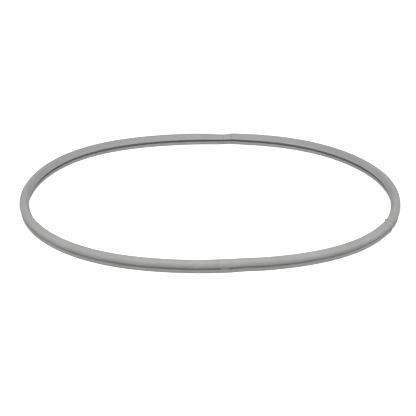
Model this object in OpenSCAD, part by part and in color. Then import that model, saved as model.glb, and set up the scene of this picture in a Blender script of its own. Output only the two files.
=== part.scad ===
// Lid sealing ring of a stovetop pressure cooker, lying flat on its sealing lip.
// Three lengths of one extruded silicone section are bent into a circle, and a short
// moulded splice bonds each pair of ends. The section is a domed hood over a thin lip,
// with a groove between them that opens towards the middle of the ring, and an undercut
// between them on the outside. The hood overhangs the lip on both sides.
// Origin: centre of the ring, in the plane it rests on. +Z points up, away from the lip.
// Angles run anticlockwise from +X, seen from above.

/* [Ring] */
// Outer diameter across the hood's wall
outer_d = 260; // [180:1:320]
// Width of the section, from the outer wall to the inner nose
section_w = 6.4; // [6.2:0.1:6.6]
// Height of the section, from the resting face to the crown
section_h = 8; // [7.8:0.1:9]

/* [Hood] */
// Radius of the crown, the curve from the top to the inner slope
crown_r = 2; // [1.7:0.1:2.4]
// Radius of the shoulder, the larger curve from the top to the outer wall
shoulder_r = 3.2; // [3:0.1:3.3]
// Radius of the curve under the outer wall, down to the undercut
under_r = 1.3; // [0.8:0.1:1.4]
// Slope of the hood's inner side, down from level
slope_deg = 60; // [50:1:61]
// Radius of the hood's inner nose, and of the edge below it
nose_r = 0.35; // [0.25:0.05:0.5]
// How far the edge over the groove stands back from the nose
edge_inset = 1; // [0.4:0.1:1.2]

/* [Lip and groove] */
// Thickness of the sealing lip
lip_h = 2.1; // [1.5:0.1:2.2]
// How far the lip's inner edge stands back from the nose
lip_in_inset = 0.8; // [0.4:0.1:1.1]
// How far the lip's outer edge stands back from the outer wall
lip_out_inset = 0.8; // [0.5:0.1:1.3]
// Corner radius along both edges of the lip
lip_r = 0.5; // [0.2:0.05:0.7]
// Height of the inner groove's mouth
groove_h = 1.2; // [0.8:0.1:1.4]
// Depth of the inner groove, from the nose to its round floor
groove_depth = 3.2; // [2.4:0.1:3.4]
// Height of the outer undercut
undercut_h = 1; // [0.6:0.1:1.2]
// Depth of the outer undercut, from the outer wall to its round floor
undercut_depth = 1.6; // [1.4:0.1:2.2]

/* [Splices] */
// Length of each moulded splice, along the ring
splice_len = 7; // [3:0.5:12]
// Where the back splice is
back_deg = 84; // [60:1:120]
// Where the front splice is
front_deg = 274; // [240:1:300]
// Where the right splice is
right_deg = 335; // [320:1:350]
// How far a splice's web stands back from the outer wall, where it fills the undercut
web_inset = 0.8; // [0.6:0.1:1.1]

/* [Colours] */
// Colour of the extruded lengths
strip_colour = "#a8a8a6"; // [#a8a8a6:Grey, #d8d8d4:White, #4a4a4a:Black]
// Colour of the splices
splice_colour = "#b0b0ae"; // [#b0b0ae:Grey, #e0e0dc:White, #555555:Black]

/* [Hidden] */

// Facets of a whole turn of the ring, and of a whole circle in the section
RING_FN = 240;
SECTION_FN = 64;

inner_r = outer_d / 2 - section_w;
mid_r = outer_d / 2 - section_w / 2;
splice_deg = 360 * splice_len / (2 * PI * mid_r);

// The section is drawn from the nose (x = 0) to the outer wall (x = section_w)
shoulder_c = [section_w - shoulder_r, section_h - shoulder_r];
// The crown's centre is right above the shoulder's, so the two curves meet level on top
crown_c = [shoulder_c.x, section_h - crown_r];
groove_top = lip_h + groove_h;
undercut_top = lip_h + undercut_h;
under_c = [section_w - under_r, undercut_top + under_r];

// Where the crown ends and the straight inner slope begins
slope_out = [-sin(slope_deg), cos(slope_deg)];
slope_start = crown_c + crown_r * slope_out;
// The nose touches the slope and the inner edge of the section
nose_c = [
    nose_r,
    slope_start.y + ((nose_r - slope_start.x) * sin(slope_deg) - nose_r) / cos(slope_deg)
];
slope_end = nose_c + nose_r * slope_out;
// The hood's inner face leans back from the nose to the rounded edge over the groove
edge_c = [edge_inset + nose_r, groove_top + nose_r];
face_way = edge_c - nose_c;
face_out = [face_way.y, -face_way.x] / norm(face_way);

module disc(centre, radius) {
    translate(centre)
        circle(r = radius, $fn = SECTION_FN);
}

// A bar with the same radius on its four corners
module round_bar(low, high, radius) {
    translate([low.x + radius, low.y])
        square([high.x - low.x - 2 * radius, high.y - low.y]);
    translate([low.x, low.y + radius])
        square([high.x - low.x, high.y - low.y - 2 * radius]);
    for (x = [low.x + radius, high.x - radius], y = [low.y + radius, high.y - radius])
        disc([x, y], radius);
}

// The quarter of a disc above and outside its centre
module outer_quarter(centre, radius) {
    intersection() {
        disc(centre, radius);
        translate(centre)
            square(radius + 1);
    }
}

module hood_2d() {
    disc(crown_c, crown_r);
    outer_quarter(shoulder_c, shoulder_r);
    disc(under_c, under_r);
    // the cylindrical wall between the shoulder and the curve under it
    translate(under_c)
        square([under_r, shoulder_c.y - under_c.y]);
    // the body behind the inner slope and face, down to the groove and the undercut
    polygon([
        crown_c, slope_start, slope_end, nose_c,
        nose_c + nose_r * face_out, edge_c + nose_r * face_out, edge_c,
        [edge_c.x, groove_top], [groove_depth, groove_top], [groove_depth, undercut_top],
        [under_c.x, undercut_top], [under_c.x, shoulder_c.y], shoulder_c
    ]);
    disc(nose_c, nose_r);
    disc(edge_c, nose_r);
}

module lip_2d() {
    round_bar([lip_in_inset, 0], [section_w - lip_out_inset, lip_h], lip_r);
}

// A slot from the lip's top upwards, open at x = mouth, with its round floor at x = end
module slot_2d(mouth, end, height) {
    floor_r = height / 2;
    inwards = sign(mouth - end);
    floor_c = [end + inwards * floor_r, lip_h + floor_r];
    translate([min(mouth, floor_c.x), lip_h])
        square([abs(mouth - floor_c.x), height]);
    disc(floor_c, floor_r);
}

// The spine joins the lip to the hood, between the groove and the undercut
module spine_2d() {
    low = groove_depth - groove_h / 2;
    high = section_w - undercut_depth + undercut_h / 2;
    translate([low, lip_h / 2])
        square([high - low, groove_top - lip_h / 2]);
}

module strip_2d() {
    difference() {
        union() {
            hood_2d();
            spine_2d();
            lip_2d();
        }
        slot_2d(-1, groove_depth, groove_h);
        slot_2d(section_w + 1, section_w - undercut_depth, undercut_h);
    }
}

// A splice has the strip's section with its undercut filled
module splice_2d() {
    strip_2d();
    translate([groove_depth, lip_h])
        square([section_w - web_inset - groove_depth, under_c.y - lip_h]);
}

// Turns a section about the ring's axis, from one angle to the next
module sweep_ring(from_deg, to_deg) {
    rotate([0, 0, from_deg])
        rotate_extrude(angle = to_deg - from_deg, $fn = RING_FN)
            translate([inner_r, 0])
                children();
}

// A length of strip that fills the gap between two splices
module strip_between(from_splice, to_splice) {
    color(strip_colour)
        sweep_ring(from_splice + splice_deg / 2, to_splice - splice_deg / 2)
            strip_2d();
}

module splice_at(centre_deg) {
    color(splice_colour)
        sweep_ring(centre_deg - splice_deg / 2, centre_deg + splice_deg / 2)
            splice_2d();
}

module strip_left() {
    strip_between(back_deg, front_deg);
}

module strip_front_right() {
    strip_between(front_deg, right_deg);
}

module strip_back_right() {
    strip_between(right_deg, back_deg + 360);
}

module splice_back() {
    splice_at(back_deg);
}

module splice_front() {
    splice_at(front_deg);
}

module splice_right() {
    splice_at(right_deg);
}

strip_left();
strip_front_right();
strip_back_right();
splice_back();
splice_front();
splice_right();
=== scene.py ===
import math

import bpy
import numpy as np
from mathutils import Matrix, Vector


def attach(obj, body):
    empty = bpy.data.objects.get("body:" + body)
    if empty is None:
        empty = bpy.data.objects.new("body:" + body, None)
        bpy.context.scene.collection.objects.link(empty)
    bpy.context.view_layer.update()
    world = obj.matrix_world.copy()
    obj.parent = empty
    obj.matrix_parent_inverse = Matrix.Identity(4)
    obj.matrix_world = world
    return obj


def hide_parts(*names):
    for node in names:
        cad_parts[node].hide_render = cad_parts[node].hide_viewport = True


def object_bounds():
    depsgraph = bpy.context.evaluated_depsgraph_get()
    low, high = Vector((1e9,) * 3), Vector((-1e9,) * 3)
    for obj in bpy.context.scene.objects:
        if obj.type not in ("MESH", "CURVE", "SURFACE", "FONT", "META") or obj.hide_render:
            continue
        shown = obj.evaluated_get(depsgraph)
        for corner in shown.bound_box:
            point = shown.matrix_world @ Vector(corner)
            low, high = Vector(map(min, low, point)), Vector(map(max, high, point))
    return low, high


# The loose silicone sealing ring of a pressure cooker's lid, as it lies on a pale floor: three
# lengths of extruded strip, and three moulded splices that bond their ends.
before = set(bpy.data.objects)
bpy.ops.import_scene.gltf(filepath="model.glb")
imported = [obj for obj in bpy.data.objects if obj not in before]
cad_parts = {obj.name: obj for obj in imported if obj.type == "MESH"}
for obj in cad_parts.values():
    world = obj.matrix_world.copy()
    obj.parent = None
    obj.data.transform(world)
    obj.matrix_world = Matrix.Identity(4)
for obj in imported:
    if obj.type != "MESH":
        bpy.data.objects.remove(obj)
CAD_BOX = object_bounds()

# Shapes are worked out in millimetres and go into meshes in metres
MM = 0.001

# ---------------------------------------------------------------- section, the same as in the CAD model

OUTER_R = CAD_BOX[1].x / MM
SECTION_H = 8.0
SECTION_W = 6.4
MID_R = OUTER_R - SECTION_W / 2

CROWN_R = 2.0
SHOULDER_R = 3.2
UNDER_R = 1.3
SLOPE_DEG = 60.0
NOSE_R = 0.35
EDGE_INSET = 1.0

LIP_H = 2.1
LIP_R = 0.5
LIP_IN_INSET = 0.8
LIP_OUT_INSET = 0.8
GROOVE_H = 1.2
GROOVE_DEPTH = 3.2
UNDERCUT_H = 1.0
UNDERCUT_DEPTH = 1.6
WEB_INSET = 0.8

# ---------------------------------------------------------------- splices, by angle from +X

BACK_DEG = 84.0
FRONT_DEG = 274.0
RIGHT_DEG = 335.0
SPLICE_LEN = 7.0
SPLICE_HALF_DEG = math.degrees(SPLICE_LEN / 2 / MID_R)

# The two edges of a splice are curves around the section, first the one at its lower angle. Their
# keys are (place around the section in degrees, shift along the ring in mm). The places turn about
# the section's middle: 180 is the nose, 90 the crown, 0 the outer wall and -90 the underside.
EDGES = {
    "splice_back": ([(130, 0.5), (20, -0.4), (-90, 0.0)], [(130, -0.3), (20, 0.4), (-90, 0.0)]),
    "splice_front": ([(120, 0.6), (10, -0.6), (-60, 0.2)], [(120, -0.4), (10, 0.7), (-60, 0.1)]),
    "splice_right": (
        [(150, -2.0), (96, -4.0), (63, -4.5), (38, -3.4), (-4, -1.4), (-45, 1.4)],
        [(150, -4.2), (114, -5.6), (81, -6.9), (38, -5.8), (0, -2.2), (-45, 1.0)],
    ),
}
# How far each splice stands proud of the strips, and how deep and wide its bond lines are, in mm
SPLICE_PROUD = {"splice_back": -0.05, "splice_front": 0.04, "splice_right": -0.12}
CREASE_DEPTH = {"splice_back": 0.12, "splice_front": 0.05, "splice_right": 0.25}
CREASE_HALF = {"splice_back": 0.3, "splice_front": 0.3, "splice_right": 0.4}
# A bond line of this depth in mm gets the darkest painted shade
DARKEST_SHADE_CREASE = 0.25
# The wall flares out at the right splice, up to a step. The angle and the half-widths before and
# after it are in degrees, and the flare in mm.
FLARE = (334.2, 2.2, 0.3, 0.65)
# A nib of flash by the right splice, as (angle, half-width in degrees, inward and up in mm)
NIB = (334.3, 0.33, 0.75, 0.35)

# ---------------------------------------------------------------- how the loose ring lies

# Waves of the loose ring's outline, as (waves in a turn, height in mm, angle of a crest)
WAVES = [(2, 0.5, 90), (3, 0.4, -23), (4, 2.1, -42), (6, 0.5, 7)]
# Kinks at the splices, as (angle, half-width in degrees, outward shift in mm)
KINKS = [(85.5, 5, -0.8), (82.7, 2.5, 0.6), (268, 8, 0.5), (280, 3, -0.7), (341, 8, 0.5)]
# Local changes of the section, as (zone, angle, half-widths before and after it, shift outwards,
# shift up), in degrees and mm
DENTS = [
    ("crown", 85.2, 1.6, 6.5, 0.0, -0.7),
    ("lip", 82.7, 4.0, 4.5, 0.8, 0.0),
    ("groove", 82.7, 4.0, 6.0, 0.2, 0.6),
    ("crown", 274.0, 4.0, 4.0, 0.0, 0.25),
]

# ---------------------------------------------------------------- section outline


def arc(centre, radius, start_deg, end_deg, steps):
    """Points on an arc, both ends included."""
    angles = np.radians(np.linspace(start_deg, end_deg, steps + 1))
    return [(centre[0] + radius * math.cos(a), centre[1] + radius * math.sin(a)) for a in angles]


def line(start, end, steps):
    """Points along a line, without its ends."""
    return [
        (start[0] + (end[0] - start[0]) * k / steps, start[1] + (end[1] - start[1]) * k / steps)
        for k in range(1, steps)
    ]


def strip_outline():
    """The section's outline, anticlockwise from the lip's bottom inner corner.

    A point is (distance from the nose, height). The last number of each call below is how many
    steps that stretch is cut into.
    """
    shoulder = (SECTION_W - SHOULDER_R, SECTION_H - SHOULDER_R)
    crown = (shoulder[0], SECTION_H - CROWN_R)
    slope_deg = 90 + SLOPE_DEG
    out = (math.cos(math.radians(slope_deg)), math.sin(math.radians(slope_deg)))
    slope_x = crown[0] + CROWN_R * out[0]
    slope_z = crown[1] + CROWN_R * out[1]
    nose_z = slope_z + ((NOSE_R - slope_x) * -out[0] - NOSE_R) / out[1]
    roof = LIP_H + GROOVE_H
    floor_r = GROOVE_H / 2
    floor_c = (GROOVE_DEPTH - floor_r, LIP_H + floor_r)
    under_z = LIP_H + UNDERCUT_H
    root_r = UNDERCUT_H / 2
    root_c = (SECTION_W - UNDERCUT_DEPTH + root_r, LIP_H + root_r)
    lip_in = LIP_IN_INSET + LIP_R
    lip_out = SECTION_W - LIP_OUT_INSET - LIP_R
    edge = (EDGE_INSET + NOSE_R, roof + NOSE_R)
    face_deg = math.degrees(math.atan2(edge[1] - nose_z, edge[0] - NOSE_R)) - 90 + 360
    face = (math.cos(math.radians(face_deg)), math.sin(math.radians(face_deg)))

    points = arc((lip_in, LIP_R), LIP_R, 180, 270, 6)
    points += line((lip_in, 0), (lip_out, 0), 6)
    points += arc((lip_out, LIP_R), LIP_R, -90, 0, 6)
    points += line((lip_out + LIP_R, LIP_R), (lip_out + LIP_R, LIP_H - LIP_R), 3)
    points += arc((lip_out, LIP_H - LIP_R), LIP_R, 0, 90, 6)
    points += arc(root_c, root_r, 270, 90, 8)
    points += arc((SECTION_W - UNDER_R, under_z + UNDER_R), UNDER_R, -90, 0, 10)
    points += line((SECTION_W, under_z + UNDER_R), (SECTION_W, shoulder[1]), 3)
    points += arc(shoulder, SHOULDER_R, 0, 90, 24)
    points += arc(crown, CROWN_R, 90, slope_deg, 10)[1:]
    points += line((slope_x, slope_z), (NOSE_R * (1 + out[0]), nose_z + NOSE_R * out[1]), 5)
    points += arc((NOSE_R, nose_z), NOSE_R, slope_deg, face_deg, 7)
    points += line(
        (NOSE_R * (1 + face[0]), nose_z + NOSE_R * face[1]),
        (edge[0] + NOSE_R * face[0], edge[1] + NOSE_R * face[1]),
        5,
    )
    points += arc(edge, NOSE_R, face_deg, 270, 5)
    points += line((edge[0], roof), (floor_c[0], roof), 5)
    points += arc(floor_c, floor_r, 90, -90, 10)
    points += arc((lip_in, LIP_H - LIP_R), LIP_R, 90, 180, 6)
    points += line((LIP_IN_INSET, LIP_H - LIP_R), (LIP_IN_INSET, LIP_R), 3)
    return np.array(points)


OUTLINE = strip_outline()
# How far round the section each point is, in mm
ROUND = np.concatenate([[0], np.cumsum(np.hypot(*np.diff(OUTLINE, axis=0).T))])


def outward_normals(outline):
    """Unit normals of a closed outline that runs anticlockwise."""
    along = np.roll(outline, -1, axis=0) - np.roll(outline, 1, axis=0)
    normals = np.stack([along[:, 1], -along[:, 0]], axis=1)
    return normals / np.linalg.norm(normals, axis=1)[:, None]


NORMALS = outward_normals(OUTLINE)
# How far round the section the nose is, in mm
NOSE_AT = ROUND[np.argmin(OUTLINE[:, 0])]
MIDDLE = (SECTION_W / 2, SECTION_H / 2)
# The place of each point around the section's middle, in degrees
PLACES = np.degrees(np.arctan2(OUTLINE[:, 1] - MIDDLE[1], OUTLINE[:, 0] - MIDDLE[0]))


def smooth(value):
    """Ease from 0 to 1, held beyond both."""
    t = np.clip(value, 0, 1)
    return t * t * (3 - 2 * t)


def bell(value):
    """1 at 0, falling to 1/e at 1 and to nothing beyond."""
    return np.exp(-value ** 2)


def turn(deg):
    """The same angle, from -180 to 180."""
    return (deg + 180) % 360 - 180


def edge_shift(keys):
    """Shift along the ring of each outline point, eased between the keys."""
    keys = sorted(keys)
    places = [k[0] for k in keys]
    closed = keys + [(places[0] + 360, keys[0][1])]
    shift = np.zeros(len(PLACES))
    for (place_a, a), (place_b, b) in zip(closed, closed[1:]):
        way = (PLACES - place_a) % 360
        span = place_b - place_a
        inside = way <= span
        shift[inside] = a + (b - a) * smooth(way[inside] / span)
    return shift


# ---------------------------------------------------------------- the ring as it lies


def outer_radius(deg):
    """Radius of the outer wall of the loose ring."""
    radius = OUTER_R + 0 * deg
    for waves, height, crest in WAVES:
        radius = radius + height * np.cos(np.radians(waves * (deg - crest)))
    for centre, width, height in KINKS:
        radius = radius + height * bell(turn(deg - centre) / width)
    return radius


# Zones of the section fade in over this far across it, and the lip's over this far in height
ZONE_FADE = 2.0
LIP_FADE = 0.5
# The lip's zone ends this far from the nose
LIP_ZONE_END = 3.5
GROOVE_ZONE_HALF = 1.3
# Middle and half-width of the nib's zone
NIB_X = 1.5
NIB_Z = 7.1
NIB_ZONE_HALF = 0.8

# How much each zone takes part in a change, at a point of the section
ZONES = {
    "crown": lambda x, z: smooth((z - LIP_H - GROOVE_H) / (SECTION_H - LIP_H - GROOVE_H)),
    "lip": lambda x, z: smooth((LIP_ZONE_END - x) / ZONE_FADE) * smooth((LIP_H + LIP_FADE - z) / LIP_FADE),
    "groove": lambda x, z: bell((z - LIP_H - GROOVE_H / 2) / GROOVE_ZONE_HALF),
    "outer": lambda x, z: smooth((x - SECTION_W / 2) / ZONE_FADE),
    "nib": lambda x, z: bell((x - NIB_X) / NIB_ZONE_HALF) * bell((z - NIB_Z) / NIB_ZONE_HALF),
}


def dent(deg, x, z):
    """The section's points, moved by the dents, the flare and the nib."""
    flare_at, flare_before, flare_after, flare_out = FLARE
    nib_at, nib_half, nib_in, nib_up = NIB
    changes = DENTS + [
        ("outer", flare_at, flare_before, flare_after, flare_out, 0.0),
        ("nib", nib_at, nib_half, nib_half, -nib_in, nib_up),
    ]
    new_x = x.copy()
    new_z = z.copy()
    for zone, centre, before, after, out, up in changes:
        way = turn(deg - centre)
        share = ZONES[zone](x, z) * bell(way / np.where(way < 0, before, after))
        new_x += out * share
        new_z += up * share
    return new_x, new_z


# Angle in degrees over which the outline's direction is measured
SLOPE_STEP = 0.05


def place(deg, x, z):
    """World points in mm of section points, square to the line that the ring lies along."""
    radius = outer_radius(deg)
    rise = outer_radius(deg + SLOPE_STEP) - outer_radius(deg - SLOPE_STEP)
    slope = rise / (2 * math.radians(SLOPE_STEP))
    a = np.radians(deg)
    out = np.stack([np.cos(a), np.sin(a)], axis=-1)
    ahead = np.stack([-np.sin(a), np.cos(a)], axis=-1)
    normal = radius[..., None] * out - slope[..., None] * ahead
    normal /= np.linalg.norm(normal, axis=-1)[..., None]
    flat = radius[..., None] * out + (x - SECTION_W)[..., None] * normal
    return np.concatenate([flat, z[..., None]], axis=-1)


# ---------------------------------------------------------------- lengths of the ring

# Rings of vertices are this far apart in mm. Near a piece's ends they are closer, and each step is
# this many times the one before it.
STEP = 2.0
END_STEP = 0.12
GROWTH = 1.35
# A slanted end has no effect on the rings of vertices this far from it
SLANT_REACH = 16.0
# The fill of a splice's undercut begins this far from its edges, and is whole after a further ramp
FILL_FROM = 0.5
FILL_RAMP = 0.8
# The fill reaches this far up the curve over the undercut
FILL_OVER = 0.3
# A splice comes to its own height over this far from its edges
PROUD_RAMP = 0.6


def stations(length):
    """Distances along a piece from 0 to its length."""
    half = [0.0]
    step = END_STEP
    while half[-1] + step < length / 2:
        half.append(half[-1] + step)
        step = min(step * GROWTH, STEP)
    return np.array(half + [length - d for d in reversed(half)])


def sweep(name, start_deg, end_deg, start_splice, end_splice):
    """One closed piece: the section swept from one angle to another.

    The ends are edges of the named splices. Both are the same one for the splice itself.
    """
    filled = start_splice == end_splice
    start_keys = EDGES[start_splice][0 if filled else 1]
    end_keys = EDGES[end_splice][1 if filled else 0]
    length = math.radians(end_deg - start_deg) * MID_R
    reach = min(SLANT_REACH, length)
    d = stations(length)
    ramp = (lambda t: t) if reach == length else smooth
    shift = (
        np.outer(ramp(1 - np.clip(d / reach, 0, 1)), edge_shift(start_keys))
        + np.outer(ramp(1 - np.clip((length - d) / reach, 0, 1)), edge_shift(end_keys))
    )
    deg = start_deg + np.degrees((d[:, None] + shift) / MID_R)
    from_start = d[:, None]
    from_finish = length - from_start
    from_end = np.minimum(from_start, from_finish)

    x = np.tile(OUTLINE[:, 0], (len(d), 1))
    z = np.tile(OUTLINE[:, 1], (len(d), 1))
    if filled:
        web = SECTION_W - WEB_INSET
        low = OUTLINE[:, 1] <= LIP_H + UNDERCUT_H + FILL_OVER
        hollow = low & (OUTLINE[:, 1] >= LIP_H) & (OUTLINE[:, 0] > GROOVE_DEPTH)
        fill = np.where(hollow, np.maximum(web - OUTLINE[:, 0], 0), 0)
        x = x + fill * smooth((from_end - FILL_FROM) / FILL_RAMP)
    x, z = dent(deg, x, z)
    crease = sum(
        CREASE_DEPTH[splice] * bell(way / CREASE_HALF[splice])
        for splice, way in ((start_splice, from_start), (end_splice, from_finish))
    )
    proud = SPLICE_PROUD[start_splice] * smooth(from_end / PROUD_RAMP) if filled else 0.0
    x = x + (proud - crease) * NORMALS[:, 0]
    z = np.maximum(z + (proud - crease) * NORMALS[:, 1], 0)

    points = place(deg, x, z) * MM
    rows, ring = deg.shape
    faces = []
    for i in range(rows - 1):
        for j in range(ring):
            k = (j + 1) % ring
            faces.append((i * ring + j, i * ring + k, (i + 1) * ring + k, (i + 1) * ring + j))
    sides = len(faces)
    faces.append(tuple(range(ring - 1, -1, -1)))
    faces.append(tuple((rows - 1) * ring + j for j in range(ring)))
    mesh = bpy.data.meshes.new(name)
    mesh.from_pydata(points.reshape(-1, 3).tolist(), [], faces)
    mesh.polygons.foreach_set("use_smooth", [True] * sides + [False, False])

    # values for the material: metres along the strip and round its section, and how much painted shade a
    # bond line's crease gets, partly for the bond's own darker tone
    own = np.zeros((rows, ring, 3))
    own[..., 0] = np.radians(deg) * MID_R * MM
    own[..., 1] = ROUND * MM
    own[..., 2] = crease / DARKEST_SHADE_CREASE
    data = mesh.attributes.new("strip", "FLOAT_VECTOR", "POINT").data
    data.foreach_set("vector", own.ravel())

    piece = bpy.data.objects.new(name, mesh)
    bpy.context.scene.collection.objects.link(piece)
    return piece


# ---------------------------------------------------------------- materials


# The strips' and the splices' darkest and lightest tones
STRIP_TONES = ((0.355, 0.354, 0.349), (0.405, 0.404, 0.399))
SPLICE_TONES = ((0.365, 0.364, 0.359), (0.42, 0.419, 0.413))
# How strong the die's lengthwise lines are on extruded strip
DIE_LINES = 0.6
# The nose's edge gets a painted highlight, paler over this many metres round the section
NOSE_HIGHLIGHT_BAND = 0.0007
# The share of its colour that the darkest bond line keeps, as painted shade in the crease and partly as
# the bond's darker tone
BOND_SHADE_TONE = 0.62


class Nodes:
    """Short calls for building a material's nodes."""

    def __init__(self, name):
        self.material = bpy.data.materials.new(name)
        self.material.use_nodes = True
        self.tree = self.material.node_tree
        self.shader = self.tree.nodes["Principled BSDF"]

    def add(self, kind, settings=(), **inputs):
        node = self.tree.nodes.new("ShaderNode" + kind)
        for key, value in dict(settings).items():
            setattr(node, key, value)
        for key, value in inputs.items():
            self.feed(node.inputs[key.replace("_", " ")], value)
        return node

    def feed(self, socket, value):
        if isinstance(value, bpy.types.NodeSocket):
            self.tree.links.new(value, socket)
        else:
            socket.default_value = value

    def noise(self, vector, scale, detail=2.0, roughness=0.5):
        node = self.add("TexNoise", Vector=vector, Scale=scale, Detail=detail, Roughness=roughness)
        return node.outputs["Fac"]

    def stretched(self, vector, along, around):
        """Coordinates scaled separately along the strip and round it."""
        node = self.add("Mapping", Vector=vector, Scale=(along, around, 1.0))
        return node.outputs["Vector"]

    def remap(self, value, low, high, to_low, to_high):
        node = self.add("MapRange", Value=value)
        for key, number in zip(("From Min", "From Max", "To Min", "To Max"), (low, high, to_low, to_high)):
            node.inputs[key].default_value = number
        return node.outputs["Result"]

    def scaled(self, vector, factor):
        node = self.add("VectorMath", {"operation": "SCALE"})
        self.feed(node.inputs[0], vector)
        self.feed(node.inputs["Scale"], factor)
        return node.outputs["Vector"]

    def math(self, operation, a, b):
        node = self.add("Math", {"operation": operation})
        self.feed(node.inputs[0], a)
        self.feed(node.inputs[1], b)
        return node.outputs["Value"]

    def bump(self, height, distance, strength, normal=None):
        node = self.add("Bump", Height=height, Distance=distance, Strength=strength)
        if normal is not None:
            self.feed(node.inputs["Normal"], normal)
        return node.outputs["Normal"]


def silicone(name, tones, die_lines):
    """Satin silicone with a cloudy body, fine grain, and die lines where it is extruded."""
    n = Nodes(name)
    own = n.add("Attribute", {"attribute_name": "strip"}).outputs["Vector"]
    parts = n.add("SeparateXYZ", Vector=own).outputs
    solid = n.add("TexCoord").outputs["Object"]

    cloud = n.noise(solid, 55, 4, 0.55)
    mottle = n.noise(solid, 420, 3, 0.6)
    streak = n.noise(n.stretched(own, 6, 1400), 1.0, 2, 0.5)
    tone = n.math("ADD", n.math("MULTIPLY", cloud, 0.5), n.math("MULTIPLY", mottle, 0.2))
    tone = n.math("ADD", tone, n.math("MULTIPLY", streak, 0.3))
    # painted highlight: the nose's rounded edge is made paler, as where it catches the light
    from_nose = n.math("ABSOLUTE", n.math("SUBTRACT", parts["Y"], NOSE_AT * MM), 0.0)
    tone = n.math("ADD", tone, n.remap(from_nose, 0.0, NOSE_HIGHLIGHT_BAND, 0.4, 0.0))
    ramp = n.add("ValToRGB", Fac=tone)
    ramp.color_ramp.elements[0].position = 0.36
    ramp.color_ramp.elements[0].color = (*tones[0], 1)
    ramp.color_ramp.elements[1].position = 0.64
    ramp.color_ramp.elements[1].color = (*tones[1], 1)
    # painted shade: bond lines are darker the deeper their crease, partly for the bond's own darker tone
    crease_shade = n.remap(parts["Z"], 0.0, 1.0, 1.0, BOND_SHADE_TONE)
    n.feed(n.shader.inputs["Base Color"], n.scaled(ramp.outputs["Color"], crease_shade))

    grain = n.noise(solid, 2600, 2, 0.6)
    lines = n.noise(n.stretched(own, 14, 1500), 1.0, 3, 0.6)
    swell = n.noise(n.stretched(own, 60, 160), 1.0, 2, 0.5)
    uneven = n.math("ADD", n.math("MULTIPLY", cloud, 0.5), n.math("MULTIPLY", grain, 0.5))
    n.feed(n.shader.inputs["Roughness"], n.remap(uneven, 0.35, 0.65, 0.46, 0.6))

    normal = n.bump(swell, 0.0004, 0.25)
    normal = n.bump(lines, 0.00006, die_lines, normal)
    normal = n.bump(grain, 0.00003, 0.5, normal)
    n.feed(n.shader.inputs["Normal"], normal)
    n.shader.inputs["Specular IOR Level"].default_value = 0.4
    n.shader.inputs["Subsurface Weight"].default_value = 0.25
    n.shader.inputs["Subsurface Radius"].default_value = (1.0, 1.0, 1.0)
    n.shader.inputs["Subsurface Scale"].default_value = 0.0015
    return n.material


def build_ring():
    """Every splice and strip, each in place of the CAD node that has its name."""
    strip = silicone("strip_silicone", STRIP_TONES, DIE_LINES)
    moulded = silicone("moulded_silicone", SPLICE_TONES, 0.0)
    half = SPLICE_HALF_DEG
    splices = {"splice_back": BACK_DEG, "splice_front": FRONT_DEG, "splice_right": RIGHT_DEG}
    strips = {
        "strip_left": ("splice_back", "splice_front", 0),
        "strip_front_right": ("splice_front", "splice_right", 0),
        "strip_back_right": ("splice_right", "splice_back", 360),
    }
    pieces = {}
    for node, deg in splices.items():
        pieces[node] = sweep(node + "_skin", deg - half, deg + half, node, node)
        pieces[node].data.materials.append(moulded)
    for node, (first, second, turn_on) in strips.items():
        start = splices[first] + half
        end = splices[second] - half + turn_on
        pieces[node] = sweep(node + "_skin", start, end, first, second)
        pieces[node].data.materials.append(strip)
    for node, piece in pieces.items():
        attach(piece, "root")
        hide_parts(node)


build_ring()

# ---------------------------------------------------------------- floor, light, camera


FLOOR_HALF = 6.0
# The lower floor is this far under the one that the camera sees
BOUNCE_DROP = 0.0002
WORLD_STRENGTH = 0.02
# Name, place and size in metres, and power in watts, of each lamp. All point at the ring's middle.
LAMPS = [
    ("softbox_front", (0, -0.5, 0.8), (1.2, 0.5), 7.6),
    ("softbox_top", (0, 0, 0.9), (1.6, 1.6), 1.8),
    ("fill_left", (-0.7, 0, 0.13), (0.8, 0.2), 1.6),
    ("fill_right", (0.7, 0, 0.13), (0.8, 0.2), 1.6),
    ("fill_front", (0, -0.8, 0.4), (1.0, 0.4), 1.5),
    ("fill_back", (0, 0.8, 0.4), (1.0, 0.4), 1.4),
]
# The camera looks along +Y from this far away and this far above level, with a 36 mm wide sensor
ELEVATION = math.radians(20.4)
DISTANCE = 1.10
SENSOR_MM = 36
LENS_MM = 140.452
# The camera aims this far to the left of and below the ring's middle
AIM_LEFT = 0.00115
AIM_DOWN = 0.00473


def plane(name, height):
    mesh = bpy.data.meshes.new(name)
    corners = [(x * FLOOR_HALF, y * FLOOR_HALF, height) for x, y in ((-1, -1), (1, -1), (1, 1), (-1, 1))]
    mesh.from_pydata(corners, [], [(0, 1, 2, 3)])
    obj = bpy.data.objects.new(name, mesh)
    bpy.context.scene.collection.objects.link(obj)
    return obj


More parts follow.
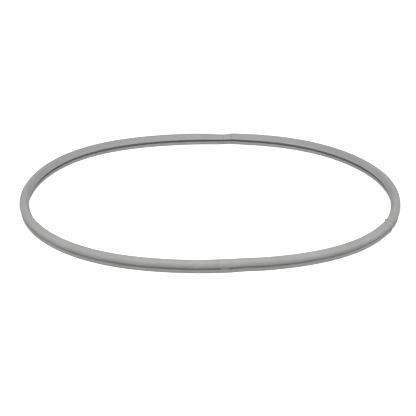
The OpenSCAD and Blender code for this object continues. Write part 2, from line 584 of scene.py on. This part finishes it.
def white(name, albedo, glow):
    mat = bpy.data.materials.new(name)
    mat.use_nodes = True
    shader = mat.node_tree.nodes["Principled BSDF"]
    shader.inputs["Base Color"].default_value = (albedo, albedo, albedo, 1)
    shader.inputs["Roughness"].default_value = 1.0
    shader.inputs["Specular IOR Level"].default_value = 0.0
    shader.inputs["Emission Color"].default_value = (1, 1, 1, 1)
    shader.inputs["Emission Strength"].default_value = glow
    return mat


def build_floor():
    """A white floor that the camera sees, and one just under it that lights the ring from below."""
    seen = plane("floor", 0.0)
    seen.data.materials.append(white("floor_white", 0.95, 0.6))
    seen.visible_diffuse = False
    seen.visible_glossy = False
    seen.visible_shadow = False
    bounce = plane("floor_bounce", -BOUNCE_DROP)
    bounce.data.materials.append(white("floor_bounce_white", 0.5, 0.0))
    bounce.visible_camera = False


def build_world():
    world = bpy.data.worlds.new("studio")
    bpy.context.scene.world = world
    world.use_nodes = True
    background = world.node_tree.nodes["Background"]
    background.inputs["Color"].default_value = (1, 1, 1, 1)
    background.inputs["Strength"].default_value = WORLD_STRENGTH


def build_lamps():
    for name, place_at, size, power in LAMPS:
        data = bpy.data.lights.new(name, "AREA")
        data.shape = "RECTANGLE"
        data.size, data.size_y = size
        data.energy = power
        lamp = bpy.data.objects.new(name, data)
        lamp.location = place_at
        lamp.rotation_euler = (-Vector(place_at)).to_track_quat("-Z", "Y").to_euler()
        bpy.context.scene.collection.objects.link(lamp)


def build_camera():
    data = bpy.data.cameras.new("camera")
    data.sensor_width = SENSOR_MM
    data.lens = LENS_MM
    camera = bpy.data.objects.new("camera", data)
    bpy.context.scene.collection.objects.link(camera)
    right = Vector((1, 0, 0))
    up = Vector((0, math.sin(ELEVATION), math.cos(ELEVATION)))
    centre = (CAD_BOX[0] + CAD_BOX[1]) / 2
    centre.z = CAD_BOX[0].z
    target = centre - right * AIM_LEFT - up * AIM_DOWN
    camera.location = target + DISTANCE * Vector((0, -math.cos(ELEVATION), math.sin(ELEVATION)))
    camera.rotation_euler = (target - camera.location).to_track_quat("-Z", "Y").to_euler()
    bpy.context.scene.camera = camera


build_floor()
build_world()
build_lamps()
build_camera()
bpy.context.scene.view_settings.view_transform = "Standard"
